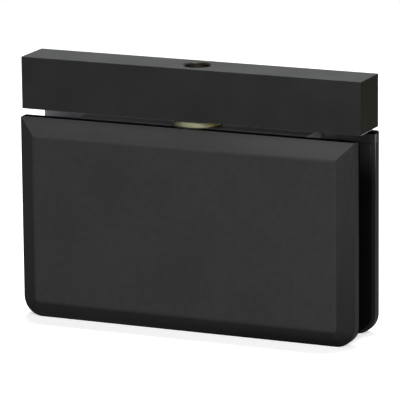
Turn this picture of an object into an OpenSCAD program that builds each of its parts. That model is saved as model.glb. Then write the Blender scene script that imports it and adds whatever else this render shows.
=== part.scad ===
// Header mount hinge for a frameless glass door.
// A bar under the door header carries a vertical pivot pin. A two-plate clamp
// turns on the pin and grips the glass round a notch in its top edge.
// Millimetres. The origin is on the pivot axis at the bar's top face.
// +X runs along the bar, +Y goes to the back plate and +Z points up.

/* [Header bar] */
// Length of the bar
bar_w = 90.3; // [80:0.1:110]
// Depth of the bar, front to back
bar_d = 11.5; // [10.5:0.1:16]
// Height of the bar
bar_h = 13.1; // [12:0.1:18]
// Tapping size of the hole for the header bolt
bolt_hole_d = 6.8; // [5:0.1:7]
// Depth of the tapped hole, down to the end of the pin
bolt_hole_depth = 7; // [5:0.1:8]
// Chamfer at the mouth of the tapped hole
bolt_chamfer = 0.5; // [0.2:0.1:1]

/* [Glass] */
// Thickness of the glass that the clamp takes
glass_t = 9.5; // [9.2:0.1:12.7]
// Thickness of each gasket
gasket_t = 0.75; // [0.6:0.05:1.5]
// Distance from the plates' lower and side edges to the gasket
gasket_inset = 0.3; // [0:0.1:2]
// Distance from the plates' top edge to the gasket
gasket_drop = 3; // [1:0.5:6]

/* [Clamp plates] */
// Width of a plate
plate_w = 89; // [84:0.5:110]
// Height of a plate
plate_h = 50.9; // [48:0.1:70]
// Thickness of the plate at its edges
rim_t = 2.5; // [1.8:0.1:4]
// Height of the bevel above the edge
bevel_h = 2.4; // [2:0.1:4]
// Width of the bevel, the same on all four edges
bevel_w = 4.35; // [2:0.05:4.8]
// Radius of the two upper corners
corner_top_r = 0.5; // [0.3:0.1:3]
// Radius of the two lower corners, which the bevel follows round
corner_low_r = 5.1; // [5:0.1:9]

/* [Centre block] */
// Width of the block, just under the width of the notch in the glass
block_w = 61; // [57:0.5:70]
// Height of the block
block_h = 38; // [37:0.5:44]
// Radius of the block's lower corners
block_r = 5; // [2:0.5:7]

/* [Pivot] */
// Diameter of the pivot pin
pin_d = 8; // [7:0.1:8.6]
// Diameter of the brass collar that shows under the bar
collar_d = 12.4; // [11.6:0.1:14]
// Thickness of the collar
collar_t = 1.3; // [1:0.1:3]
// Gap between the collar and the bar
end_play = 0.1; // [0.05:0.05:0.3]
// Wall of the two bushes
bush_wall = 0.7; // [0.5:0.05:0.8]
// Depth of the sleeve below the collar
upper_bush_len = 12; // [8:0.5:13]
// Length of the lower bush
lower_bush_len = 8; // [6:0.5:9]
// Diameter of the washer under the pin
end_washer_d = 9; // [8.8:0.1:9.2]
// Thickness of the washer under the pin
end_washer_t = 1; // [0.6:0.1:1.5]
// Thread of the screw in the end of the pin
end_screw_d = 4; // [3:0.5:4]
// Length of that screw under its head
end_screw_len = 8; // [6:1:10]
// Diameter of that screw's head
end_head_d = 7.6; // [7:0.1:8.4]
// Height of that screw's head
end_head_h = 2.2; // [1.5:0.1:2.6]
// Depth of that head inside the bottom of the block
end_recess = 0.5; // [0.2:0.1:1.5]

/* [Detent] */
// Depth of the two flats on the pin
flat_depth = 0.35; // [0.2:0.05:0.6]
// Height of the two flats
flat_h = 9; // [8:0.5:12]
// Diameter of a plunger
plunger_d = 7; // [6:0.1:7.4]
// Length of a plunger
plunger_len = 11; // [9:0.5:12]
// Chamfer on a plunger's nose
plunger_chamfer = 0.5; // [0.2:0.1:1]
// Depth of the spring's pocket in a plunger
pocket_depth = 6; // [4:0.5:7]
// Outer diameter of a spring
spring_d = 5; // [4:0.1:5]
// Diameter of the spring's wire
wire_d = 0.8; // [0.5:0.05:1]
// Turns of a spring, with the closed one at each end
spring_turns = 8; // [6:1:10]
// Diameter of an adjuster screw
adjuster_d = 8; // [7.8:0.1:9]
// Length of an adjuster screw
adjuster_len = 6; // [4:0.5:8]
// Depth of an adjuster screw inside the block's end
adjuster_recess = 0.3; // [0:0.1:1]

/* [Clamp screws] */
// Thread of the clamp screws
screw_d = 5; // [4:0.5:6]
// Diameter of a clamp screw's countersunk head
screw_head_d = 10; // [9:0.1:11]
// Distance of the clamp screws from the pivot, to each side
screw_x = 22; // [16:0.5:25]
// Distance of the clamp screws from the block's middle, up and down
screw_z = 9; // [8.5:0.5:9.5]
// Solid skin in front of the tapped holes in the front plate
plate_skin = 1; // [0.6:0.1:1.5]

/* [Fits] */
// Radial clearance of the pin and the plungers
run_fit = 0.04; // [0.02:0.01:0.08]
// Radial clearance of pressed and screwed pieces
snug_fit = 0.01; // [0.01:0.01:0.03]
// Radial clearance of the clamp screws in the block and the back plate
screw_clear = 0.25; // [0.15:0.05:0.5]
// Gap between a plunger and the round of the pin
nose_gap = 0.05; // [0.03:0.01:0.1]

/* [Hidden] */
$fn = 72;

// Cuts run this far past the faces that they open
cut = 1;
// A turned edge is broken by this much
edge_break = 0.3;
// Gap between the block and the gaskets round it
gasket_gap = 0.2;
// A spring stands this far clear of the pocket's wall
spring_clear = 0.3;
// A tapped hole goes this far past the screw in it
tap_past = 0.3;
// A countersunk head stands this far off its seat
seat_gap = 0.02;
// A socket's key is this share of the screw's diameter, and its depth of the key
key_share = 0.55;
key_depth_share = 0.7;

// The jaws are set by the glass and its gaskets, and close on the block
jaw_gap = glass_t + 2 * gasket_t;
plate_t = rim_t + bevel_h;

// Heights, all from the bar's top face
bar_bottom = -bar_h;
clamp_top = bar_bottom - end_play - collar_t;
clamp_bottom = clamp_top - plate_h;
block_bottom = clamp_top - block_h;
block_middle = clamp_top - block_h / 2;
head_bottom = block_bottom + end_recess;
pin_bottom = head_bottom + end_head_h + end_washer_t;
lower_bush_bottom = pin_bottom + end_play / 2;

// Pivot radii, from the pin outwards
pin_r = pin_d / 2;
bush_in_r = pin_r + run_fit;
bush_out_r = bush_in_r + bush_wall;
block_bore_r = bush_out_r + snug_fit;

// Distances from the pivot axis along a plunger's bore
nose_x = pin_r + nose_gap;
pocket_x = nose_x + plunger_len - pocket_depth;
adjuster_end_x = block_w / 2 - adjuster_recess;
adjuster_x = adjuster_end_x - adjuster_len;

// Clamp screws, from the countersink in the back plate to the front plate
screw_key = screw_d * key_share;
screw_tip_y = jaw_gap / 2 + plate_t - plate_skin - tap_past;
screw_sites = [for (sx = [-1, 1], sz = [-1, 1]) [sx * screw_x, block_middle + sz * screw_z]];

// Flat outline in X and Z: square shoulders, with round corners of two radii.
// z_top is the top edge, and the outline hangs down from it.
module hanging_outline(w, h, r_top, r_low, z_top) {
  for (side = [-1, 1]) {
    translate([side * (w / 2 - r_top), z_top - r_top]) circle(r = r_top);
    translate([side * (w / 2 - r_low), z_top - h + r_low]) circle(r = r_low);
  }
  translate([-w / 2 + r_top, z_top - h + r_low]) square([w - 2 * r_top, h - r_low]);
  translate([-w / 2, z_top - h + r_low]) square([w, h - r_low - r_top]);
  translate([-w / 2 + r_low, z_top - h]) square([w - 2 * r_low, h - r_top]);
}

// Stands an XZ outline up and gives it a thickness from y to y + t
module upright(y, t) {
  translate([0, y + t, 0]) rotate([90, 0, 0]) linear_extrude(t) children();
}

// A bar along +X from x, for the pieces of the two plungers
module along_x(x) {
  translate([x, 0, block_middle]) rotate([0, 90, 0]) children();
}

// Turned piece with both outer edges broken
module turned(r, h, edge = edge_break) {
  rotate_extrude() polygon([
    [0, 0], [r - edge, 0], [r, edge], [r, h - edge], [r - edge, h], [0, h]
  ]);
}

// Hexagon socket, measured across its flats, cut down from z = 0
module key_socket(key, depth) {
  translate([0, 0, -depth]) cylinder(d = key / cos(30), h = depth + cut, $fn = 6);
}

// Coil spring along +Z from 0 to len, with one closed turn at each end
module coil_spring(d, wire, len, turns) {
  steps_per_turn = 16;
  sides = 8;
  steps = steps_per_turn * turns;
  coil_r = (d - wire) / 2;
  rise = len - wire;
  open_turns = turns - 2;
  pitch = (rise - 2 * wire) / open_turns;
  function height(t) =
    wire / 2 + (t < 1 ? t * wire
      : t < turns - 1 ? wire + (t - 1) * pitch
      : rise - (turns - t) * wire);
  points = [
    for (i = [0:steps], k = [0:sides - 1])
      let (
        t = i / steps_per_turn,
        across = coil_r + wire / 2 * cos(360 * k / sides),
        lift = wire / 2 * sin(360 * k / sides)
      )
      [across * cos(360 * t), across * sin(360 * t), height(t) + lift]
  ];
  skin = [
    for (i = [0:steps - 1], k = [0:sides - 1])
      let (a = i * sides + k, b = i * sides + (k + 1) % sides)
      each [[a, a + sides, b + sides], [a, b + sides, b]]
  ];
  start_cap = [[for (k = [0:sides - 1]) k]];
  end_cap = [[for (k = [sides - 1:-1:0]) steps * sides + k]];
  polyhedron(points = points, faces = concat(skin, start_cap, end_cap));
}

// Bar that is bolted up under the header, with the pin's socket below the thread
module header_block() {
  color([0.16, 0.165, 0.165]) difference() {
    translate([-bar_w / 2, -bar_d / 2, bar_bottom]) cube([bar_w, bar_d, bar_h]);
    translate([0, 0, -bolt_hole_depth - cut]) cylinder(d = bolt_hole_d, h = bolt_hole_depth + 2 * cut);
    translate([0, 0, -bolt_chamfer])
      cylinder(d1 = bolt_hole_d, d2 = bolt_hole_d + 2 * (bolt_chamfer + cut), h = bolt_chamfer + cut);
    translate([0, 0, bar_bottom - cut])
      cylinder(r = pin_r + snug_fit, h = bar_h - bolt_hole_depth + cut);
  }
}

// Steel pin, pressed into the bar, with two flats that the plungers close on
module pivot_pin() {
  pin_len = -bolt_hole_depth - pin_bottom;
  color([0.72, 0.73, 0.75]) difference() {
    translate([0, 0, pin_bottom]) turned(pin_r, pin_len);
    for (side = [-1, 1])
      translate([side * (pin_r - flat_depth + pin_d / 2), 0, block_middle])
        cube([pin_d, pin_d + 2 * cut, flat_h], center = true);
    translate([0, 0, pin_bottom - cut])
      cylinder(r = end_screw_d / 2 + snug_fit, h = end_screw_len - end_washer_t + tap_past + cut);
  }
}

// Washer that the lower bush rests on
module pin_end_washer() {
  color([0.75, 0.76, 0.77]) translate([0, 0, head_bottom + end_head_h]) difference() {
    cylinder(d = end_washer_d, h = end_washer_t);
    translate([0, 0, -cut]) cylinder(r = end_screw_d / 2 + screw_clear, h = end_washer_t + 2 * cut);
  }
}

// Socket screw that holds the washer to the pin
module pin_end_screw() {
  color([0.7, 0.71, 0.73]) difference() {
    union() {
      translate([0, 0, head_bottom]) turned(end_head_d / 2, end_head_h);
      translate([0, 0, head_bottom + end_head_h / 2])
        cylinder(d = end_screw_d, h = end_head_h / 2 + end_screw_len);
    }
    translate([0, 0, head_bottom]) mirror([0, 0, 1])
      key_socket(end_screw_d * key_share, end_screw_d * key_share * key_depth_share);
  }
}

// Flanged brass bush: its flange is the collar that shows under the bar
module collar_bush() {
  color([0.72, 0.63, 0.38]) difference() {
    union() {
      translate([0, 0, clamp_top]) turned(collar_d / 2, collar_t, edge_break / 2);
      translate([0, 0, clamp_top - upper_bush_len]) turned(bush_out_r, upper_bush_len + collar_t / 2);
    }
    translate([0, 0, clamp_top - upper_bush_len - cut])
      cylinder(r = bush_in_r, h = upper_bush_len + collar_t + 2 * cut);
  }
}

// Plain brass bush at the foot of the pin
module lower_bush() {
  color([0.72, 0.63, 0.38]) difference() {
    translate([0, 0, lower_bush_bottom]) cylinder(r = bush_out_r, h = lower_bush_len);
    translate([0, 0, lower_bush_bottom - cut]) cylinder(r = bush_in_r, h = lower_bush_len + 2 * cut);
  }
}

// Body that fills the notch in the glass and holds the pivot and the detent
module centre_block() {
  color([0.2, 0.2, 0.205]) difference() {
    upright(-jaw_gap / 2, jaw_gap)
      hanging_outline(block_w, block_h, edge_break, block_r, clamp_top);
    translate([0, 0, block_bottom - cut]) cylinder(r = block_bore_r, h = block_h + 2 * cut);
    along_x(-block_w / 2 - cut) cylinder(r = plunger_d / 2 + run_fit, h = block_w + 2 * cut);
    for (side = [0, 1]) mirror([side, 0, 0])
      along_x(adjuster_x - tap_past)
        cylinder(r = adjuster_d / 2 + snug_fit, h = adjuster_len + adjuster_recess + tap_past + cut);
    for (site = screw_sites) translate([site[0], 0, site[1]])
      rotate([90, 0, 0]) cylinder(r = screw_d / 2 + screw_clear, h = jaw_gap + 2 * cut, center = true);
  }
}

// Plunger on the +X side: flat nose to the pin, spring pocket behind
module plunger() {
  color([0.68, 0.58, 0.34]) along_x(nose_x) difference() {
    rotate_extrude() polygon([
      [0, 0], [plunger_d / 2 - plunger_chamfer, 0], [plunger_d / 2, plunger_chamfer],
      [plunger_d / 2, plunger_len], [0, plunger_len]
    ]);
    translate([0, 0, plunger_len - pocket_depth])
      cylinder(r = spring_d / 2 + spring_clear, h = pocket_depth + cut);
  }
}

module plunger_left() {
  mirror([1, 0, 0]) plunger();
}

module plunger_right() {
  plunger();
}

// Spring on the +X side, from the plunger's pocket to the adjuster
module spring() {
  color([0.6, 0.61, 0.63]) along_x(pocket_x)
    coil_spring(spring_d, wire_d, adjuster_x - pocket_x, spring_turns);
}

module spring_left() {
  mirror([1, 0, 0]) spring();
}

module spring_right() {
  spring();
}

// Adjuster on the +X side: a headless screw that closes the plunger's bore
module adjuster() {
  key = adjuster_d * key_share;
  color([0.3, 0.3, 0.31]) along_x(adjuster_x) difference() {
    turned(adjuster_d / 2, adjuster_len, edge_break);
    translate([0, 0, adjuster_len]) key_socket(key, key * key_depth_share);
  }
}

module adjuster_left() {
  mirror([1, 0, 0]) adjuster();
}

module adjuster_right() {
  adjuster();
}

// Section of a plate across one pair of edges: square edge, bevel, flat face.
// The depth runs along +Y from 0 at the inner face.
module bevel_section(low, high) {
  polygon([
    [low, 0], [high, 0], [high, rim_t], [high - bevel_w, plate_t], [low + bevel_w, plate_t], [low, rim_t]
  ]);
}

// Quarter ring that takes the metal outside a round corner's bevel, about +Y from y = 0.
// It fills the quarter towards +X and -Z.
module corner_trim(r) {
  rotate([-90, 0, 0]) rotate_extrude(angle = 90) polygon([
    [r - bevel_w, plate_t], [r, rim_t], [r + cut, rim_t], [r + cut, plate_t + cut], [r - bevel_w, plate_t + cut]
  ]);
}

// Plate with its inner face at y = 0 and its bevelled face towards +Y.
// Three prisms cross, so the bevels meet in straight mitres at the upper corners.
// A cone carries the bevel round each lower corner.
module bevelled_plate() {
  difference() {
    intersection() {
      upright(0, plate_t) hanging_outline(plate_w, plate_h, corner_top_r, corner_low_r, clamp_top);
      translate([0, 0, clamp_bottom - cut]) linear_extrude(plate_h + 2 * cut)
        bevel_section(-plate_w / 2, plate_w / 2);
      translate([-plate_w / 2 - cut, 0, 0]) rotate([90, 0, 90]) linear_extrude(plate_w + 2 * cut)
        rotate([0, 0, 90]) mirror([0, 1, 0]) bevel_section(clamp_bottom, clamp_top);
    }
    for (side = [0, 1]) mirror([side, 0, 0])
      translate([plate_w / 2 - corner_low_r, 0, clamp_bottom + corner_low_r]) corner_trim(corner_low_r);
  }
}

// Plain outer plate, tapped from behind for the clamp screws
module front_plate() {
  color([0.21, 0.21, 0.215]) translate([0, -jaw_gap / 2, 0]) mirror([0, 1, 0]) difference() {
    bevelled_plate();
    for (site = screw_sites) translate([site[0], -cut, site[1]])
      rotate([-90, 0, 0]) cylinder(r = screw_d / 2 + snug_fit, h = plate_t - plate_skin + cut);
  }
}

// Plate on the other side of the glass, countersunk for the clamp screws
module back_plate() {
  sink_h = (screw_head_d - screw_d) / 2;
  hole_r = screw_d / 2 + screw_clear;
  color([0.21, 0.21, 0.215]) translate([0, jaw_gap / 2, 0]) difference() {
    bevelled_plate();
    for (site = screw_sites) translate([site[0], plate_t, site[1]]) rotate([-90, 0, 0]) {
      translate([0, 0, -plate_t - cut]) cylinder(r = hole_r, h = plate_t + 2 * cut);
      translate([0, 0, -sink_h])
        cylinder(r1 = hole_r, r2 = hole_r + sink_h + cut, h = sink_h + cut);
    }
  }
}

// U-shaped gasket with its outer face at y = 0, thickness towards +Y
module gasket() {
  upright(0, gasket_t) difference() {
    hanging_outline(
      plate_w - 2 * gasket_inset, plate_h - gasket_drop - gasket_inset,
      corner_top_r, corner_low_r - gasket_inset, clamp_top - gasket_drop
    );
    hanging_outline(
      block_w + 2 * gasket_gap, block_h + gasket_gap + cut,
      edge_break, block_r + gasket_gap, clamp_top + cut
    );
  }
}

module front_gasket() {
  color([0.06, 0.06, 0.065]) translate([0, -jaw_gap / 2, 0]) gasket();
}

module back_gasket() {
  color([0.06, 0.06, 0.065]) translate([0, jaw_gap / 2, 0]) mirror([0, 1, 0]) gasket();
}

// Countersunk socket screw along -Z, with its flat head face at z = 0
module clamp_screw(length) {
  head_h = (screw_head_d - screw_d) / 2;
  difference() {
    rotate_extrude() polygon([
      [0, 0], [screw_head_d / 2, 0], [screw_d / 2, -head_h],
      [screw_d / 2, -length + edge_break], [screw_d / 2 - edge_break, -length], [0, -length]
    ]);
    key_socket(screw_key, screw_key * key_depth_share);
  }
}

// Four screws that draw the plates together through the block
module clamp_screws() {
  head_y = jaw_gap / 2 + plate_t - screw_clear + seat_gap;
  color([0.1, 0.1, 0.105]) for (site = screw_sites)
    translate([site[0], head_y, site[1]]) rotate([-90, 0, 0])
      clamp_screw(head_y + screw_tip_y);
}

header_block();
pivot_pin();
pin_end_washer();
pin_end_screw();
collar_bush();
lower_bush();
centre_block();
plunger_left();
plunger_right();
spring_left();
spring_right();
adjuster_left();
adjuster_right();
front_plate();
back_plate();
front_gasket();
back_gasket();
clamp_screws();
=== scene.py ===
"""Looks of the header mount hinge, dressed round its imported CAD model.

Every length is in metres, in the model's own frame. The origin is on the pivot
axis at the top of the header bar, +X runs along the bar and +Z points up.
"""

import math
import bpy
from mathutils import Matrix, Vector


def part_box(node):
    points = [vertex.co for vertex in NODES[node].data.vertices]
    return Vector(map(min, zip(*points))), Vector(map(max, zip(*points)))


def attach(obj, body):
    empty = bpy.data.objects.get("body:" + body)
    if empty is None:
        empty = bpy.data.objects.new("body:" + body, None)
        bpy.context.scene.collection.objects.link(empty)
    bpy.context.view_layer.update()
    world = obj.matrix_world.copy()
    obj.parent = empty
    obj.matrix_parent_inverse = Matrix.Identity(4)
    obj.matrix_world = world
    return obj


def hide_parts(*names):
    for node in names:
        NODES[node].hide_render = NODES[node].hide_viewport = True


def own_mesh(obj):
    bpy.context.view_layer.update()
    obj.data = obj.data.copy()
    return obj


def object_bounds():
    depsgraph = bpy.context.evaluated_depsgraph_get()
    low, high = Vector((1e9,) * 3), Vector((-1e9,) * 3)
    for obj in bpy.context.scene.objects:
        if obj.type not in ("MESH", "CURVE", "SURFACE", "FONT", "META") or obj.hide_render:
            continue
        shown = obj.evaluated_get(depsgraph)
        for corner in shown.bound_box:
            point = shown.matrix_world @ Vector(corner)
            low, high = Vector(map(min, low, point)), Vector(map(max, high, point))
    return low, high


bl_info = {
    "name": "Header Mount Hinge",
    "version": (1, 0, 0),
    "blender": (4, 5, 0),
    "location": "3D View > Sidebar > Hinge",
    "description": "Gives a header mount hinge its coats, brass, steel and rubber, and lights it",
    "category": "Object",
}

from types import SimpleNamespace

import bmesh
import bpy
from mathutils import Matrix, Vector

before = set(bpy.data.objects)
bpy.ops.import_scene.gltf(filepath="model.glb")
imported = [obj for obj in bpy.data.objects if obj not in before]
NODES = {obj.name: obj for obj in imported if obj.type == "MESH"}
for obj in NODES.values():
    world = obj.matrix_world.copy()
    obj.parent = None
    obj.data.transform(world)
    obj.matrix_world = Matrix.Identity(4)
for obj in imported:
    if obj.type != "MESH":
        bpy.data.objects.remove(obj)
CAD_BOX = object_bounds()

# Edges that turn more than this are cut edges, and the rest are facets of a curve
CUT_EDGE = math.radians(25)
# Cut edges that turn less than this, as from a bevel to the face, are gentle ones
GENTLE_EDGE = math.radians(35)
# Edges this near to the box round a piece, along two axes, are its outline and no hole's rim
CORNER_REACH = (0.0016, 0.0005, 0.0016)
# The same for a plate, from its sides in past its bevels
BEVEL_REACH = (0.0046, 0.0046, 0.0046)
# The same for the back plate, but short of its flat face. Rounding that face's edge left dark lines
# between its lower corners and its screw holes
WALL_REACH = (0.0035, 0.0035, 0.0035)
# Radius in the chamfer of the bar's tapped hole at which the coat ends
COAT_END = 0.00378
# Width over which the coat ends
COAT_BLUR = 0.00002
# Past its end the coat has painted light as far as the first distance, and is plain from the second
LIFT_START = 0.0001
LIFT_STOP = 0.00014
# Width of the bright ring that the tap has cut inside the coat
CUT_RING = 0.00009
# Depths in the hole between which its metal turns dull towards the mouth
MOUTH_FOOT = 0.0009
MOUTH_TOP = 0.0004
# Radii round the pivot between which the polish of a plate's top edge ends
POLISH_END = (0.0069, 0.0072)
# Half the width over which the black joint beside the front gasket begins
JOINT_BLUR = 0.00005
# Depth of the coats' fine grain
FINE_GRAIN = 0.000004
# Lathe rings are so many times finer along the turned axis than across it
RING_STRETCH = 26
# Radii of the plates' lower corners and of the block's, which the gaskets follow
PLATE_CORNER = 0.0051
BLOCK_CORNER = 0.005
# Gap between a gasket and the block
BLOCK_GAP = 0.0002
# Geometry nodes that mark the edges to round, shared by every piece
EDGE_GROUP = "mark_cut_edges"
# Points of the imported mesh nearer than this are one point
WELD = 1e-6
# Triangles that lie in one plane within this angle are one face
ONE_PLANE = math.radians(0.5)


def colour_property(name, description, default):
    """A colour swatch, in linear values."""
    return bpy.props.FloatVectorProperty(
        name=name, description=description, default=default, size=3, min=0, max=1, subtype="COLOR"
    )


def length_property(name, description, default, largest=10.0):
    """A length in metres."""
    return bpy.props.FloatProperty(
        name=name, description=description, default=default, min=0, max=largest,
        precision=5, subtype="DISTANCE", unit="LENGTH"
    )


def angle_property(name, description, degrees):
    """An angle, given in degrees."""
    return bpy.props.FloatProperty(
        name=name, description=description, default=math.radians(degrees), subtype="ANGLE", unit="ROTATION"
    )


def power_property(name, description, default):
    """Power of a lamp in watts."""
    return bpy.props.FloatProperty(
        name=name, description=description, default=default, min=0, subtype="POWER", unit="POWER"
    )


def share_property(name, description, default):
    """A share from nought to one."""
    return bpy.props.FloatProperty(
        name=name, description=description, default=default, min=0, max=1, subtype="FACTOR"
    )


class HingeFinish(bpy.types.PropertyGroup):
    """Colours of the hinge's coats and bare metals, and how far its arrises are broken."""

    bar_coat: colour_property("Bar coat", "Black coat of the header bar", (0.0455, 0.0475, 0.0462))
    # Painted shade: the bar's two ends are darker
    shaded_end_coat: colour_property("End coat", "Black coat of the bar's two cut ends", (0.0165, 0.016, 0.0115))
    # Painted highlight along the bar's lower edges
    glint_metal: colour_property("Worn edge", "Metal where the bar's lower edges are rubbed", (0.4, 0.4, 0.4))
    face_coat: colour_property("Face coat", "Black coat of a plate's flat face", (0.07, 0.069, 0.071))
    wall_coat: colour_property("Wall coat", "Black coat of a plate's side walls", (0.039, 0.0375, 0.041))
    bevel_coat: colour_property("Bevel coat", "Black coat of a plate's bevels", (0.056, 0.0555, 0.057))
    # Black of the joint beside the front gasket, and of the painted shade on the plates' upper edges and
    # bevels
    joint_and_shade_black: colour_property("Seam black", "Black of the plates' upper edges", (0.0008, 0.0008, 0.0008))
    # Its lighter band under the top edge is painted light
    inner_face: colour_property("Inner face", "Uncoated metal of a plate's inner face", (0.205, 0.2, 0.218))
    # Painted highlight on a plate's inner edges near the top
    painted_arris_highlight: colour_property("Rubbed arris", "A plate's inner edges near the top", (0.22, 0.215, 0.23))
    block_coat: colour_property("Block coat", "Black coat of the centre block", (0.058, 0.056, 0.061))
    # Painted light on the block's two ends
    painted_light_end: colour_property("Sawn end", "Bare metal of the block's two sawn ends", (0.185, 0.18, 0.198))
    screw_oxide: colour_property("Screw oxide", "Black oxide of the screws", (0.016, 0.016, 0.017))
    brass: colour_property("Brass", "Turned brass of the bushes and plungers", (0.41, 0.4, 0.26))
    # Painted light on the right side of the brass collar
    stain_and_side_light: colour_property("Tarnish", "Brown tarnish on one side of the brass collar", (0.95, 0.8, 0.3))
    bare_metal: colour_property("Bare metal", "Cut metal in the bar's tapped hole", (0.13, 0.118, 0.1))
    dark_metal: colour_property("Dark metal", "Dull metal at the hole's mouth", (0.008, 0.0065, 0.005))
    cut_rim: colour_property("Cut rim", "Bright ring that the tap has cut", (0.05, 0.042, 0.036))
    steel: colour_property("Steel", "Ground steel of the pin and the springs", (0.42, 0.43, 0.44))
    rubber: colour_property("Rubber", "Black rubber of the gaskets", (0.003, 0.003, 0.0031))
    # Painted sheen at the back gasket's top
    painted_rubber_sheen: colour_property("Rubber sheen", "Polish at the back gasket's top", (0.028, 0.027, 0.029))
    front_side: length_property("Front gasket side", "Front gasket's edge to the plate's side", 0.0, 0.002)
    front_top: length_property("Front gasket top", "Front gasket's edge to the plate's top", 0.0002, 0.006)
    back_side: length_property("Back gasket side", "Back gasket's edge to the plate's side", 0.0009, 0.002)
    back_top: length_property("Back gasket top", "Back gasket's edge to the plate's top", 0.003, 0.006)
    rubber_round: length_property("Rubber rounding", "Rounding of the gaskets' edges", 0.00022, 0.001)
    bar_arris: length_property("Bar arris", "Width of the broken edges of the bar", 0.00015, 0.001)
    plate_arris: length_property("Plate arris", "Width of the broken edges of a plate", 0.00013, 0.001)
    bevel_blend: length_property("Bevel blend", "Width of the rounding of a gentle edge", 0.0006, 0.001)
    small_arris: length_property("Small arris", "Width of the broken edges of small pieces", 0.00008, 0.001)


class HingeStage(bpy.types.PropertyGroup):
    """Camera, lamps and floor."""

    azimuth: angle_property("Azimuth", "Turn of the camera from the front towards +X", 23.839)
    elevation: angle_property("Elevation", "Height of the camera above the horizon", 13.083)
    roll: angle_property("Roll", "Lean of the camera about its own axis", -0.565)
    distance: length_property("Distance", "Camera to the point that it looks at", 0.9553)
    aim_x: length_property("Aim X", "How far right of the pivot the camera looks", 0.00035)
    aim_depth: length_property("Aim depth", "How far below the bar's top the camera looks", 0.03387)
    lens: bpy.props.FloatProperty(
        name="Lens", description="Focal length of the camera", default=349.2, min=1, unit="CAMERA"
    )
    key_power: power_property("Key lamp", "Soft lamp in front, to the right and above", 5.0)
    top_power: power_property("Top lamp", "Soft lamp overhead", 9.4)
    air: share_property("Air", "Plain light from all round", 0.02)
    floor_tone: share_property("Floor tone", "How much light the floor throws back at the hinge", 0.02)
    floor_glow: share_property("Floor glow", "Light of the floor itself, which weakens its shadow", 0.62)


def add_node(tree, kind, inputs=None, **settings):
    """Adds a node. Each input gets a value, or a link where it is given another node's socket."""
    new = tree.nodes.new(kind)
    for name, value in settings.items():
        setattr(new, name, value)
    for key, value in (inputs or {}).items():
        if isinstance(value, bpy.types.NodeSocket):
            tree.links.new(value, new.inputs[key])
        else:
            new.inputs[key].default_value = value
    return new


def maths(tree, operation, first, second=0.0, clamp=False):
    """One sum on numbers or sockets, and its result."""
    both = {0: first, 1: second}
    return add_node(tree, "ShaderNodeMath", both, operation=operation, use_clamp=clamp).outputs[0]


def product(tree, first, *others):
    """Numbers or sockets multiplied together, from the left."""
    for other in others:
        first = maths(tree, "MULTIPLY", first, other)
    return first


def rest_of(tree, share):
    """What a share leaves of one."""
    return maths(tree, "SUBTRACT", 1.0, share)


def compared(tree, first, operation, second):
    """Whether a comparison holds."""
    return add_node(tree, "FunctionNodeCompare", {0: first, 1: second}, operation=operation).outputs[0]


def vector_maths(tree, operation, first, second):
    """One sum on two vectors, and its result."""
    return add_node(tree, "ShaderNodeVectorMath", {0: first, 1: second}, operation=operation).outputs[0]


def length_of(tree, vector):
    """Length of a vector."""
    return add_node(tree, "ShaderNodeVectorMath", {0: vector}, operation="LENGTH").outputs["Value"]


def parts_of(tree, vector):
    """X, Y and Z of a vector."""
    return tuple(add_node(tree, "ShaderNodeSeparateXYZ", {0: vector}).outputs)


def ramp(tree, value, low, high, out_low=0.0, out_high=1.0):
    """Maps a value from low..high to out_low..out_high and holds it there."""
    inputs = {"Value": value, "From Min": low, "From Max": high, "To Min": out_low, "To Max": out_high}
    return add_node(tree, "ShaderNodeMapRange", inputs, interpolation_type="SMOOTHSTEP").outputs["Result"]


def noise(tree, coords, scale, detail=2.0, roughness=0.5, stretch=(1, 1, 1)):
    """Noise of so many cells per metre, stretched along the axes."""
    placed = add_node(tree, "ShaderNodeMapping", {"Vector": coords, "Scale": stretch}).outputs[0]
    inputs = {"Vector": placed, "Scale": scale, "Detail": detail, "Roughness": roughness}
    return add_node(tree, "ShaderNodeTexNoise", inputs).outputs["Fac"]


def mixed(tree, share, first, second):
    """Mixes two colours."""
    both = {"Factor": share, 6: first, 7: second}
    return add_node(tree, "ShaderNodeMix", both, data_type="RGBA").outputs[2]


def shaded(colour, level):
    """A colour made lighter or darker, with full alpha."""
    return (*(min(1.0, part * level) for part in colour), 1.0)


def varied(tree, share, colour, spread):
    """A colour that goes from darker to lighter by that spread as the share goes from nought to one."""
    return mixed(tree, share, shaded(colour, 1 - spread), shaded(colour, 1 + spread))


def new_material(name, specular):
    """A material with one Principled shader. Its whole-surface numbers are set on the shader itself."""
    material = bpy.data.materials.new(name)
    material.use_nodes = True
    tree = material.node_tree
    tree.nodes.clear()
    shader = add_node(tree, "ShaderNodeBsdfPrincipled", {"Specular IOR Level": specular})
    add_node(tree, "ShaderNodeOutputMaterial", {"Surface": shader.outputs[0]})
    coords = add_node(tree, "ShaderNodeTexCoord")
    return material, tree, shader, coords


def wire(tree, shader, **sockets):
    """Links sockets to the shader's inputs, named with _ for a space."""
    for name, socket in sockets.items():
        tree.links.new(socket, shader.inputs[name.replace("_", " ")])


def grain_bump(tree, height, depth):
    """A bump of that depth in metres."""
    return add_node(tree, "ShaderNodeBump", {"Height": height, "Strength": 1.0, "Distance": depth}).outputs[0]


def from_pivot(tree, place):
    """Distance from the pivot axis."""
    return length_of(tree, vector_maths(tree, "MULTIPLY", place, (1, 1, 0)))


def from_top(tree, height, far, near, out_far=0.0, out_near=1.0):
    """Maps a height on the plates, from far to near below their top edge."""
    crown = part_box("front_plate")[1].z
    return ramp(tree, height, crown - far, crown - near, out_far, out_near)


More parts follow.
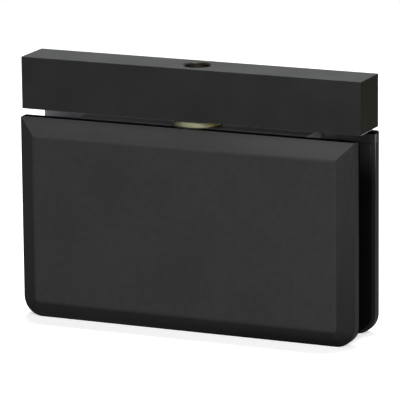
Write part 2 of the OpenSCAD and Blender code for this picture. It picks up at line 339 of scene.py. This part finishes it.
def hole_metal(tree, finish, place, radius, rings):
    """Cut metal in the bar's tapped hole, dull at its mouth and bright where the tap has cut a ring."""
    metal = varied(tree, rings, finish.bare_metal, 0.3)
    height = parts_of(tree, place)[2]
    metal = mixed(tree, ramp(tree, height, -MOUTH_FOOT, -MOUTH_TOP), metal, shaded(finish.dark_metal, 1.0))
    on_ring = ramp(tree, radius, COAT_END - CUT_RING - COAT_BLUR, COAT_END - CUT_RING)
    return mixed(tree, on_ring, metal, shaded(finish.cut_rim, 1.0))


def bar_coat(finish):
    """Smooth satin black on the bar, with painted shade on its two ends, a painted highlight of bright metal
    along its lower edges and painted light round its tapped hole, in which the cut metal is bare.
    """
    material, tree, shader, coords = new_material("bar_satin_black", specular=0.006)
    place = coords.outputs["Object"]
    along, _, upward = parts_of(tree, coords.outputs["Normal"])
    # Painted highlight: the bar's lower edges are bright metal
    lower_edge_glint = product(tree, ramp(tree, upward, -0.45, -0.25, 1.0, 0.0), ramp(tree, upward, -0.97, -0.9))
    on_end = ramp(tree, maths(tree, "ABSOLUTE", along), 0.5, 0.9)
    cloud = ramp(tree, noise(tree, place, 90), 0.3, 0.7)
    grain = noise(tree, place, 4200, detail=3)
    rings = noise(tree, place, 300, stretch=(1, 1, 14))
    radius = from_pivot(tree, place)
    bare = ramp(tree, radius, COAT_END - COAT_BLUR, COAT_END, 1.0, 0.0)

    # Painted light: the coat is a little lighter close round the hole
    lift = ramp(tree, radius, COAT_END + LIFT_START, COAT_END + LIFT_STOP, 1.3, 1.0)
    # Painted shade: the bar's two ends take a darker coat
    coat = mixed(tree, on_end, varied(tree, cloud, finish.bar_coat, 0.08), shaded(finish.shaded_end_coat, 1.0))
    coat = add_node(tree, "ShaderNodeVectorMath", {0: coat, "Scale": lift}, operation="SCALE").outputs[0]
    coat = mixed(tree, lower_edge_glint, coat, shaded(finish.glint_metal, 1.0))
    rough = ramp(tree, grain, 0.3, 0.7, 0.40, 0.50)
    wire(
        tree, shader,
        Base_Color=mixed(tree, bare, coat, hole_metal(tree, finish, place, radius, rings)),
        Metallic=maths(tree, "MAXIMUM", bare, lower_edge_glint),
        Roughness=maths(tree, "SUBTRACT", rough, product(tree, bare, 0.12)),
        Normal=grain_bump(tree, maths(tree, "ADD", grain, product(tree, rings, bare)), FINE_GRAIN),
    )
    return material


def plate_zones(tree, coords):
    """Where a plate's surface lies, and how far it counts as each of the plate's sides, as sockets."""
    turn_x, turn_y, turn_z = parts_of(tree, coords.outputs["Normal"])
    along, depth, height = parts_of(tree, coords.outputs["Object"])
    facing = maths(tree, "ABSOLUTE", turn_y)
    outward = product(tree, turn_y, maths(tree, "SIGN", depth))
    bevel = product(tree, ramp(tree, facing, 0.2, 0.8), ramp(tree, facing, 0.88, 0.985, 1.0, 0.0))
    return SimpleNamespace(
        along=along, depth=depth, height=height, outward=outward, bevel=bevel,
        top_bevel=product(tree, bevel, ramp(tree, turn_z, 0.1, 0.3)),
        low_bevel=product(tree, ramp(tree, turn_z, -0.3, -0.1, 1.0, 0.0), bevel),
        side_bevel=product(tree, bevel, ramp(tree, maths(tree, "ABSOLUTE", turn_x), 0.2, 0.4)),
        flat=ramp(tree, facing, 0.9, 0.985),
        wall=ramp(tree, facing, 0.1, 0.4, 1.0, 0.0),
        top=ramp(tree, turn_z, 0.9, 0.97),
        inner=ramp(tree, outward, -0.7, -0.4, 1.0, 0.0),
        front=ramp(tree, depth, -0.001, 0.001, 1.0, 0.0),
    )


def outer_coat(tree, finish, zone, spread):
    """Coat of a plate's face, bevels and walls, with painted light and shade on its bevels, black upper edges
    of painted shade and a painted highlight on the back plate's wall.
    """
    joint_and_shade = shaded(finish.joint_and_shade_black, 1.0)
    face = varied(tree, spread, finish.face_coat, 0.06)
    coat = mixed(tree, zone.bevel, face, varied(tree, spread, finish.bevel_coat, 0.05))

    # Painted light and shade: the upper bevel is lighter to the right of the pivot, and a little darker down
    # its slope
    lighter = product(tree, zone.top_bevel, ramp(tree, zone.along, 0.0, 0.035))
    coat = mixed(tree, lighter, coat, shaded(finish.bevel_coat, 1.33))
    darker = product(tree, zone.top_bevel, from_top(tree, zone.height, 0.0038, 0.0012, 0.15, 0.0))
    coat = mixed(tree, darker, coat, joint_and_shade)
    coat = mixed(tree, zone.wall, coat, shaded(finish.wall_coat, 1.0))

    # Painted shade: the lower bevel and the side bevels darken towards the foot
    foot = CAD_BOX[0][2]
    lowest = ramp(tree, zone.along, -0.03, 0.03, 0.85, 0.35)
    low_painted_shade = rest_of(tree, ramp(tree, zone.height, foot, foot + 0.0044, lowest, 1.0))
    side_painted_shade = rest_of(tree, ramp(tree, zone.height, foot, foot + 0.04, 0.7, 1.0))
    coat = mixed(tree, product(tree, zone.low_bevel, low_painted_shade), coat, joint_and_shade)
    coat = mixed(tree, product(tree, zone.side_bevel, side_painted_shade), coat, joint_and_shade)
    # Painted shade: the plates' top edges are black
    coat = mixed(tree, zone.top, coat, joint_and_shade)

    # A black joint beside the front gasket, which tapers downwards on the front plate's wall
    inner_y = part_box("front_gasket")[0].y
    reach = from_top(tree, zone.height, 0.04, 0.0, -0.0001, 0.0007)
    joint = ramp(tree, maths(tree, "ADD", zone.depth, reach), inner_y - JOINT_BLUR, inner_y + JOINT_BLUR)
    coat = mixed(tree, product(tree, zone.wall, product(tree, joint, zone.front)), coat, joint_and_shade)

    # A painted highlight: a bright streak at the top of the back plate's wall
    streak = ramp(tree, zone.depth, -inner_y + 0.001, -inner_y + 0.0012, 1.0, 0.0)
    streak = product(tree, streak, from_top(tree, zone.height, 0.003, 0.0022))
    streak = product(tree, streak, maths(tree, "SUBTRACT", zone.wall, zone.front, clamp=True))
    return mixed(tree, streak, coat, shaded(finish.wall_coat, 5.5))


def inner_metal(tree, finish, zone):
    """Bare inner face of a plate, with painted light in a band under its top edge, lightest beside the block,
    and a painted highlight on its inner arris near the top.
    """
    band = from_top(tree, zone.height, 0.013, 0.001)
    # The band's painted light is a third weaker at its left end and right of the pivot, and weakest at its
    # right end
    for limits in ((-0.038, -0.034, 0.67, 1.0), (0.0, 0.01, 1.0, 0.67), (0.036, 0.043, 1.0, 0.17)):
        band = product(tree, band, ramp(tree, zone.along, *limits))
    metal = mixed(tree, band, shaded(finish.inner_face, 0.08), shaded(finish.inner_face, 1.0))
    # Painted light: the band is lightest just past the block's right end
    past_block = ramp(tree, zone.along, 0.028, 0.030)
    beside = product(tree, past_block, band, ramp(tree, zone.along, 0.0315, 0.0355, 1.0, 0.0))
    metal = mixed(tree, beside, metal, shaded(finish.inner_face, 1.9))
    # Painted highlight on the inner arris, fading down from the top
    on_arris = product(tree, ramp(tree, zone.outward, -0.97, -0.9), zone.inner)
    painted_bright = product(tree, on_arris, from_top(tree, zone.height, 0.0115, 0.0005))
    return mixed(tree, painted_bright, metal, shaded(finish.painted_arris_highlight, 1.0))


def plate_coat(finish):
    """Fine matte grain on a plate's face and walls, smoother bevels, black upper edges of painted shade, and
    a bare inner face with painted light.
    """
    material, tree, shader, coords = new_material("plate_matte_black", specular=0.008)
    place = coords.outputs["Object"]
    zone = plate_zones(tree, coords)
    cloud = noise(tree, place, 70, detail=3)
    speck = noise(tree, place, 700, detail=2)
    grain = noise(tree, place, 2600, detail=4, roughness=0.65)
    blend = maths(tree, "ADD", product(tree, cloud, 0.5), product(tree, speck, 0.5))
    coat = outer_coat(tree, finish, zone, ramp(tree, blend, 0.35, 0.65))
    coat = mixed(tree, zone.inner, coat, inner_metal(tree, finish, zone))
    # Painted shade: the back plate is black along its top edge
    back_top_shade = maths(tree, "SUBTRACT", from_top(tree, zone.height, 0.0007, 0.0004), zone.front, clamp=True)
    coat = mixed(tree, back_top_shade, coat, shaded(finish.joint_and_shade_black, 1.0))

    # The top edge is dull, but polished close round the collar
    polish_and_painted_sheen = product(tree, zone.top, ramp(tree, from_pivot(tree, place), *POLISH_END, 1.0, 0.0))
    rough = maths(tree, "ADD", ramp(tree, grain, 0.3, 0.7, 0.42, 0.50), product(tree, zone.flat, 0.08))
    rough = maths(tree, "ADD", rough, product(tree, zone.inner, 0.1))
    rough = maths(tree, "ADD", rough, product(tree, zone.top, 0.5))
    wire(
        tree, shader,
        Base_Color=coat,
        Metallic=maths(tree, "MAXIMUM", zone.inner, product(tree, polish_and_painted_sheen, 0.4)),
        Roughness=maths(tree, "SUBTRACT", rough, product(tree, polish_and_painted_sheen, 0.86)),
        Normal=grain_bump(tree, product(tree, grain, maths(tree, "ADD", zone.flat, 0.3)), FINE_GRAIN),
    )
    return material


def plain_coat(name, colour, roughness, specular, grain_scale, grain_depth):
    """A dark coat or rubber with a fine grain."""
    material, tree, shader, coords = new_material(name, specular=specular)
    place = coords.outputs["Object"]
    grain = noise(tree, place, grain_scale, detail=3, roughness=0.6)
    cloud = noise(tree, place, 120)
    tone = maths(tree, "ADD", product(tree, cloud, 0.6), product(tree, grain, 0.4))
    wire(
        tree, shader,
        Base_Color=varied(tree, ramp(tree, tone, 0.35, 0.65), colour, 0.15),
        Roughness=ramp(tree, grain, 0.3, 0.7, roughness - 0.06, roughness + 0.06),
        Normal=grain_bump(tree, grain, grain_depth),
    )
    return material


def block_coat(finish):
    """Satin black on the block, with painted light on its two ends, drawn as bare sawn metal."""
    material, tree, shader, coords = new_material("block_satin_black", specular=0.05)
    place = coords.outputs["Object"]
    grain = noise(tree, place, 3000, detail=3, roughness=0.6)
    saw = noise(tree, place, 500, stretch=(1, 1, 9))
    along = parts_of(tree, coords.outputs["Normal"])[0]
    on_end = ramp(tree, maths(tree, "ABSOLUTE", along), 0.6, 0.9)
    coat = varied(tree, ramp(tree, grain, 0.35, 0.65), finish.block_coat, 0.15)
    # Painted light: the block's two ends are lighter bare metal
    painted_light_sawn = varied(tree, ramp(tree, saw, 0.3, 0.7), finish.painted_light_end, 0.15)
    rough = ramp(tree, grain, 0.3, 0.7, 0.39, 0.51)
    wire(
        tree, shader,
        Base_Color=mixed(tree, on_end, coat, painted_light_sawn),
        Metallic=on_end,
        Roughness=maths(tree, "ADD", rough, product(tree, on_end, 0.4)),
        Normal=grain_bump(tree, grain, FINE_GRAIN),
    )
    return material


def gasket_rubber(finish):
    """Black sheet rubber, matt below, with a painted sheen towards its upper edge."""
    material, tree, shader, coords = new_material("gasket_rubber_painted_sheen", specular=0.02)
    place = coords.outputs["Object"]
    grain = noise(tree, place, 1800, detail=3, roughness=0.6)
    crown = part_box("front_gasket")[1].z
    # Painted sheen, lightest at the back gasket's top
    polish_and_painted_sheen = ramp(tree, parts_of(tree, place)[2], crown - 0.0095, crown + 0.001)
    tone = varied(tree, ramp(tree, grain, 0.35, 0.65), finish.rubber, 0.15)
    wire(
        tree, shader,
        Base_Color=mixed(tree, polish_and_painted_sheen, tone, shaded(finish.painted_rubber_sheen, 1.0)),
        Metallic=polish_and_painted_sheen,
        Roughness=ramp(tree, grain, 0.3, 0.7, 0.6, 0.72),
        Normal=grain_bump(tree, grain, 0.00001),
    )
    return material


def turned_metal(name, colour, roughness, axis, foot=None, side=None):
    """Metal turned round one axis. Foot is the part of a collar's height with painted light, and side the
    colour of the painted light on its right side.
    """
    material, tree, shader, coords = new_material(name, specular=0.5)
    shader.inputs["Metallic"].default_value = 1.0
    place = coords.outputs["Object"]
    stretch = tuple(RING_STRETCH if axis == letter else 1 for letter in "XYZ")
    rings = noise(tree, place, 260, detail=3, stretch=stretch)
    stain_and_side_light = noise(tree, place, 420, detail=4, roughness=0.6)
    tone = maths(tree, "ADD", product(tree, rings, 0.5), product(tree, stain_and_side_light, 0.5))
    metal = mixed(tree, ramp(tree, tone, 0.35, 0.65), shaded(colour, 0.78), shaded(colour, 1.15))
    if foot:
        height = parts_of(tree, place)[2]
        # Painted light: the collar is lighter towards its foot
        metal = mixed(tree, ramp(tree, height, *foot, 1.0, 0.0), metal, shaded(colour, 2.0))
        along, _, upward = parts_of(tree, coords.outputs["Normal"])
        # Painted light on the collar's right side
        metal = mixed(tree, ramp(tree, along, 0.62, 0.93), metal, shaded(side, 1.0))
        # Painted highlight: the chamfer at the foot is light and not metallic, so that it catches the lamps
        on_chamfer = ramp(tree, upward, -0.5, -0.2, 1.0, 0.0)
        metal = mixed(tree, on_chamfer, metal, shaded(colour, 5.5))
        wire(tree, shader, Metallic=rest_of(tree, on_chamfer))
    wire(
        tree, shader,
        Base_Color=metal,
        Roughness=ramp(tree, stain_and_side_light, 0.3, 0.7, roughness - 0.07, roughness + 0.07),
        Normal=grain_bump(tree, rings, 0.000006),
    )
    return material


def dress(node_names, material):
    """Gives CAD nodes a material in place of the plain one that they were packed with."""
    for name in node_names:
        for slot in NODES[name].material_slots:
            slot.material = material


def arris_group():
    """Geometry nodes that mark cut edges near the outline for breaking, and keep their faces crisp."""
    group = bpy.data.node_groups.new(EDGE_GROUP, "GeometryNodeTree")
    face = group.interface
    face.new_socket("Mesh", in_out="INPUT", socket_type="NodeSocketGeometry")
    for name in ("Low", "High"):
        face.new_socket(name, in_out="INPUT", socket_type="NodeSocketVector")
    face.new_socket("Sharp Share", in_out="INPUT", socket_type="NodeSocketFloat")
    face.new_socket("Mesh", in_out="OUTPUT", socket_type="NodeSocketGeometry")
    given = add_node(group, "NodeGroupInput").outputs
    turn = add_node(group, "GeometryNodeInputMeshEdgeAngle").outputs["Unsigned Angle"]
    is_cut = compared(group, turn, "GREATER_THAN", CUT_EDGE)
    crisp = add_node(group, "GeometryNodeSetMeshNormal", {"Mesh": given["Mesh"], "Edge Sharpness": is_cut})

    # An edge is on the outline where its centre is outside the box Low..High along two axes or more
    middle = add_node(group, "GeometryNodeInputPosition").outputs[0]
    past_low = vector_maths(group, "SUBTRACT", middle, given["Low"])
    to_high = vector_maths(group, "SUBTRACT", given["High"], middle)
    least = parts_of(group, vector_maths(group, "MINIMUM", past_low, to_high))
    outside = [maths(group, "LESS_THAN", part, 0.0) for part in least]
    axes_out = maths(group, "ADD", maths(group, "ADD", outside[0], outside[1]), outside[2])
    near_outline = compared(group, axes_out, "GREATER_THAN", 1.5)
    both = {0: is_cut, 1: near_outline}
    broken = add_node(group, "FunctionNodeBooleanMath", both, operation="AND").outputs[0]

    # A gentle edge is rounded by the whole width, and a sharp one by its share of it
    is_gentle = compared(group, turn, "LESS_THAN", GENTLE_EDGE)
    shares = {"Switch": is_gentle, "False": given["Sharp Share"], "True": 1.0}
    share = add_node(group, "GeometryNodeSwitch", shares, input_type="FLOAT").outputs[0]
    marked = add_node(
        group, "GeometryNodeStoreNamedAttribute",
        {"Geometry": crisp.outputs[0], "Name": "bevel_weight_edge", "Value": product(group, broken, share)},
        data_type="FLOAT", domain="EDGE",
    )
    add_node(group, "NodeGroupOutput", {0: marked.outputs[0]})
    return group


def break_arrises(node_names, width, reach=None, gentle_width=None):
    """Rounds the cut edges of CAD nodes, or only those within reach of the outline along two axes."""
    group = bpy.data.node_groups.get(EDGE_GROUP) or arris_group()
    inputs = [item.identifier for item in group.interface.items_tree if item.in_out == "INPUT"]
    widest = gentle_width or width
    for name in node_names:
        piece = NODES[name]
        low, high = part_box(name)
        inset = Vector(reach) if reach else high - low
        weld = piece.modifiers.new("weld", "WELD")
        weld.merge_threshold = WELD
        flat = piece.modifiers.new("one_plane", "DECIMATE")
        flat.decimate_type = "DISSOLVE"
        flat.angle_limit = ONE_PLANE
        mark = piece.modifiers.new("cut_edges", "NODES")
        mark.node_group = group
        mark[inputs[1]] = low + inset
        mark[inputs[2]] = high - inset
        mark[inputs[3]] = width / widest
        arris = piece.modifiers.new("arris", "BEVEL")
        arris.width = widest
        arris.segments = 3
        arris.limit_method = "WEIGHT"
        arris.use_clamp_overlap = False
        arris.harden_normals = True


class HINGE_OT_header_bar(bpy.types.Operator):
    """Coats the header bar black, leaves its tapped hole bare and breaks its edges"""

    bl_idname = "hinge.header_bar"
    bl_label = "Header Bar"

    def execute(self, context):
        finish = context.scene.hinge_finish
        dress(["header_block"], bar_coat(finish))
        break_arrises(["header_block"], finish.bar_arris, reach=CORNER_REACH)
        return {"FINISHED"}


class HINGE_OT_clamp_plates(bpy.types.Operator):
    """Coats the two bevelled plates and breaks their outer edges"""

    bl_idname = "hinge.clamp_plates"
    bl_label = "Clamp Plates"

    def execute(self, context):
        finish = context.scene.hinge_finish
        dress(["front_plate", "back_plate"], plate_coat(finish))
        for name, reach in (("front_plate", BEVEL_REACH), ("back_plate", WALL_REACH)):
            break_arrises([name], finish.plate_arris, reach=reach, gentle_width=finish.bevel_blend)
        return {"FINISHED"}


class HINGE_OT_centre_block(bpy.types.Operator):
    """Coats the block between the plates"""

    bl_idname = "hinge.centre_block"
    bl_label = "Centre Block"

    def execute(self, context):
        finish = context.scene.hinge_finish
        dress(["centre_block"], block_coat(finish))
        break_arrises(["centre_block"], finish.small_arris, reach=CORNER_REACH)
        return {"FINISHED"}


class HINGE_OT_brass_pieces(bpy.types.Operator):
    """Turns the two bushes and the two plungers in brass"""

    bl_idname = "hinge.brass_pieces"
    bl_label = "Brass Pieces"

    def execute(self, context):
        finish = context.scene.hinge_finish
        foot = (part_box("front_plate")[1].z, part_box("collar_bush")[1].z)
        upright = turned_metal(
            "turned_brass_upright", shaded(finish.brass, 0.5)[:3],
            roughness=0.5, axis="Z", foot=foot, side=finish.stain_and_side_light,
        )
        dress(["collar_bush", "lower_bush"], upright)
        level = turned_metal("turned_brass_level", finish.brass, roughness=0.3, axis="X")
        dress(["plunger_left", "plunger_right"], level)
        return {"FINISHED"}


def giving_coil(name, node, material):
    """A spring in place of its node, a copy of its mesh in that material, carried by the clamp."""
    coil = bpy.data.objects.new(name, NODES[node].data.copy())
    bpy.context.scene.collection.objects.link(coil)
    coil.data.materials.clear()
    coil.data.materials.append(material)
    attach(coil, "clamp")
    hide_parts(node)
    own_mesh(coil)


class HINGE_OT_steel_pieces(bpy.types.Operator):
    """Grinds the pin, its washer and screw, and the springs in steel"""

    bl_idname = "hinge.steel_pieces"
    bl_label = "Steel Pieces"

    def execute(self, context):
        finish = context.scene.hinge_finish
        upright = ["pivot_pin", "pin_end_washer", "pin_end_screw"]
        dress(upright, turned_metal("ground_steel_upright", finish.steel, roughness=0.28, axis="Z"))
        spring_steel = turned_metal("spring_steel", finish.steel, roughness=0.35, axis="X")
        giving_coil("left_coil", "spring_left", spring_steel)
        giving_coil("right_coil", "spring_right", spring_steel)
        return {"FINISHED"}


class HINGE_OT_black_screws(bpy.types.Operator):
    """Gives the clamp screws and the adjusters their black oxide"""

    bl_idname = "hinge.black_screws"
    bl_label = "Black Screws"

    def execute(self, context):
        finish = context.scene.hinge_finish
        oxide = plain_coat(
            "screw_black_oxide", finish.screw_oxide,
            roughness=0.38, specular=0.25, grain_scale=5000, grain_depth=0.000003,
        )
        dress(["clamp_screws", "adjuster_left", "adjuster_right"], oxide)
        break_arrises(["clamp_screws"], finish.small_arris)
        return {"FINISHED"}


def arc(centre_x, centre_z, radius, start, stop, steps=9):
    """Points of an arc, by its angles in degrees."""
    turns = [math.radians(start + (stop - start) * step / steps) for step in range(steps + 1)]
    return [(centre_x + radius * math.cos(turn), centre_z + radius * math.sin(turn)) for turn in turns]


def gasket_outline(side, top):
    """U-shaped outline in X and Z round the centre block, inside a plate's edges by side and top."""
    plate_low, plate_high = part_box("front_plate")
    block_low, block_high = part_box("centre_block")
    right = plate_high.x - side
    foot = plate_low.z + side
    crown = plate_high.z - top
    outer = PLATE_CORNER - side
    inner_right = block_high.x + BLOCK_GAP
    inner_foot = block_low.z - BLOCK_GAP
    inner = BLOCK_CORNER + BLOCK_GAP
    return [
        (-right, crown),
        *arc(-right + outer, foot + outer, outer, 180, 270),
        *arc(right - outer, foot + outer, outer, 270, 360),
        (right, crown),
        (inner_right, crown),
        *arc(inner_right - inner, inner_foot + inner, inner, 0, -90),
        *arc(-inner_right + inner, inner_foot + inner, inner, -90, -180),
        (-inner_right, crown),
    ]


def gasket_sheet(name, node, side, top, rounding, material):
    """A sheet of rubber in place of a gasket's node, with its edges rounded where the glass squeezes it."""
    low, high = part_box(node)
    mesh = bpy.data.meshes.new(name)
    form = bmesh.new()
    outline = gasket_outline(side, top)
    near = [form.verts.new((x, low.y, z)) for x, z in outline]
    far = [form.verts.new((x, high.y, z)) for x, z in outline]
    form.faces.new(near)
    form.faces.new(reversed(far))
    for here in range(len(outline)):
        after = (here + 1) % len(outline)
        form.faces.new((near[here], far[here], far[after], near[after]))
    for face in form.faces:
        face.smooth = True
    bmesh.ops.recalc_face_normals(form, faces=form.faces)
    form.to_mesh(mesh)
    form.free()
    mesh.materials.append(material)
    sheet = bpy.data.objects.new(name, mesh)
    bpy.context.scene.collection.objects.link(sheet)
    squeezed = sheet.modifiers.new("squeezed_edge", "BEVEL")
    squeezed.width = rounding
    squeezed.segments = 3
    squeezed.limit_method = "ANGLE"
    squeezed.angle_limit = CUT_EDGE
    squeezed.harden_normals = True
    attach(sheet, "clamp")
    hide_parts(node)


class HINGE_OT_gaskets(bpy.types.Operator):
    """Lays the two gaskets as sheets of black rubber"""

    bl_idname = "hinge.gaskets"
    bl_label = "Gaskets"

    def execute(self, context):
        finish = context.scene.hinge_finish
        # Painted shade: the front gasket's rubber is darker than the back one's
        plain = plain_coat(
            "gasket_rubber_black", shaded(finish.rubber, 0.4)[:3],
            roughness=0.9, specular=0.003, grain_scale=1800, grain_depth=0.00002,
        )
        front = (finish.front_side, finish.front_top)
        back = (finish.back_side, finish.back_top)
        gasket_sheet("front_rubber", "front_gasket", *front, finish.rubber_round, plain)
        gasket_sheet("back_rubber", "back_gasket", *back, finish.rubber_round, gasket_rubber(finish))
        return {"FINISHED"}


def lit_background(tree, plain, white):
    """Mixes a plain light with the white that the camera, gloss and glass see."""
    path = add_node(tree, "ShaderNodeLightPath")
    seen = maths(tree, "ADD", path.outputs["Is Camera Ray"], path.outputs["Is Glossy Ray"])
    seen = maths(tree, "ADD", seen, path.outputs["Is Transmission Ray"], clamp=True)
    return add_node(tree, "ShaderNodeMixShader", {0: seen, 1: plain, 2: white}).outputs[0]


def studio_air(strength):
    """Plain light from all round, in front of a white background."""
    world = bpy.data.worlds.new("studio_air")
    world.use_nodes = True
    tree = world.node_tree
    tree.nodes.clear()
    plain = add_node(tree, "ShaderNodeBackground", {"Color": (1, 1, 1, 1), "Strength": strength})
    white = add_node(tree, "ShaderNodeBackground", {"Color": (1, 1, 1, 1), "Strength": 1.0})
    surface = lit_background(tree, plain.outputs[0], white.outputs[0])
    add_node(tree, "ShaderNodeOutputWorld", {"Surface": surface})
    return world


def studio_floor(height, tone, strength):
    """A pale round floor under the hinge that keeps its shadow and fades out into the white."""
    radius = 0.6
    bpy.ops.mesh.primitive_circle_add(vertices=96, radius=radius, fill_type="NGON", location=(0, 0, height))
    floor = bpy.context.object
    floor.name = "studio_floor"
    material = bpy.data.materials.new("pale_floor")
    material.use_nodes = True
    tree = material.node_tree
    tree.nodes.clear()
    plain = add_node(tree, "ShaderNodeBsdfDiffuse", {"Color": (tone, tone, tone, 1)})
    pale = add_node(tree, "ShaderNodeBsdfDiffuse", {"Color": (0.8, 0.8, 0.8, 1)})
    glow = add_node(tree, "ShaderNodeEmission", {"Color": (1, 1, 1, 1), "Strength": strength})
    white = add_node(tree, "ShaderNodeAddShader", {0: pale.outputs[0], 1: glow.outputs[0]})
    lit = lit_background(tree, plain.outputs[0], white.outputs[0])
    place = add_node(tree, "ShaderNodeTexCoord").outputs["Object"]
    gone = ramp(tree, length_of(tree, place), radius * 0.3, radius * 0.8)
    clear = add_node(tree, "ShaderNodeBsdfTransparent")
    faded = add_node(tree, "ShaderNodeMixShader", {0: gone, 1: lit, 2: clear.outputs[0]})
    add_node(tree, "ShaderNodeOutputMaterial", {"Surface": faded.outputs[0]})
    floor.data.materials.append(material)


def soft_lamp(name, toward, distance, width, height, power):
    """A soft rectangular lamp that looks at the middle of the hinge from that direction."""
    data = bpy.data.lights.new(name, "AREA")
    data.shape = "RECTANGLE"
    data.size = width
    data.size_y = height
    data.energy = power
    lamp = bpy.data.objects.new(name, data)
    aim = Vector((0, 0, CAD_BOX[0][2] / 2))
    direction = Vector(toward).normalized()
    lamp.location = aim + direction * distance
    lamp.rotation_euler = direction.to_track_quat("Z", "Y").to_euler()
    bpy.context.scene.collection.objects.link(lamp)


def photo_camera(stage):
    """A camera at the photograph's angle, by azimuth, elevation, roll and distance."""
    turn, rise = stage.azimuth, stage.elevation
    back = Vector((math.sin(turn) * math.cos(rise), -math.cos(turn) * math.cos(rise), math.sin(rise)))
    level = Vector((math.cos(turn), math.sin(turn), 0))
    upward = back.cross(level)
    right = level * math.cos(stage.roll) + upward * math.sin(stage.roll)
    up = upward * math.cos(stage.roll) - level * math.sin(stage.roll)
    place = Vector((stage.aim_x, 0, -stage.aim_depth)) + back * stage.distance
    data = bpy.data.cameras.new("photo_camera")
    data.lens = stage.lens
    data.sensor_width = 36
    data.clip_start = 0.01
    data.clip_end = 20
    camera = bpy.data.objects.new("photo_camera", data)
    camera.matrix_world = Matrix.Translation(place) @ Matrix((right, up, back)).transposed().to_4x4()
    bpy.context.scene.collection.objects.link(camera)
    bpy.context.scene.camera = camera


class HINGE_OT_studio(bpy.types.Operator):
    """Sets the floor, the lamps, the white background and the camera"""

    bl_idname = "hinge.studio"
    bl_label = "Studio"

    def execute(self, context):
        stage = context.scene.hinge_stage
        context.scene.view_settings.view_transform = "Standard"
        context.scene.world = studio_air(stage.air)
        studio_floor(CAD_BOX[0][2], stage.floor_tone, stage.floor_glow)
        soft_lamp(
            "key_lamp", toward=(0.38, -0.77, 0.51), distance=0.9,
            width=0.35, height=0.35, power=stage.key_power,
        )
        soft_lamp(
            "top_lamp", toward=(0.0, 0.156, 0.988), distance=0.8,
            width=0.3, height=0.12, power=stage.top_power,
        )
        photo_camera(stage)
        return {"FINISHED"}


STEPS = (
    HINGE_OT_header_bar,
    HINGE_OT_clamp_plates,
    HINGE_OT_centre_block,
    HINGE_OT_brass_pieces,
    HINGE_OT_steel_pieces,
    HINGE_OT_black_screws,
    HINGE_OT_gaskets,
    HINGE_OT_studio,
)


class HINGE_PT_panel(bpy.types.Panel):
    """Lists the hinge's finishes and the steps that dress it"""

    bl_label = "Header Mount Hinge"
    bl_idname = "HINGE_PT_panel"
    bl_space_type = "VIEW_3D"
    bl_region_type = "UI"
    bl_category = "Hinge"

    def draw(self, context):
        layout = self.layout
        for group in (context.scene.hinge_finish, context.scene.hinge_stage):
            column = layout.column()
            for name in group.__annotations__:
                column.prop(group, name)
        for step in STEPS:
            layout.operator(step.bl_idname)


CLASSES = (HingeFinish, HingeStage, *STEPS, HINGE_PT_panel)


def register():
    for each in CLASSES:
        bpy.utils.register_class(each)
    bpy.types.Scene.hinge_finish = bpy.props.PointerProperty(type=HingeFinish)
    bpy.types.Scene.hinge_stage = bpy.props.PointerProperty(type=HingeStage)


def unregister():
    del bpy.types.Scene.hinge_stage
    del bpy.types.Scene.hinge_finish
    for each in reversed(CLASSES):
        bpy.utils.unregister_class(each)


def main():
    """Dresses the hinge step by step."""
    register()
    for step in STEPS:
        family, name = step.bl_idname.split(".")
        getattr(getattr(bpy.ops, family), name)()


if __name__ == "__main__":
    main()
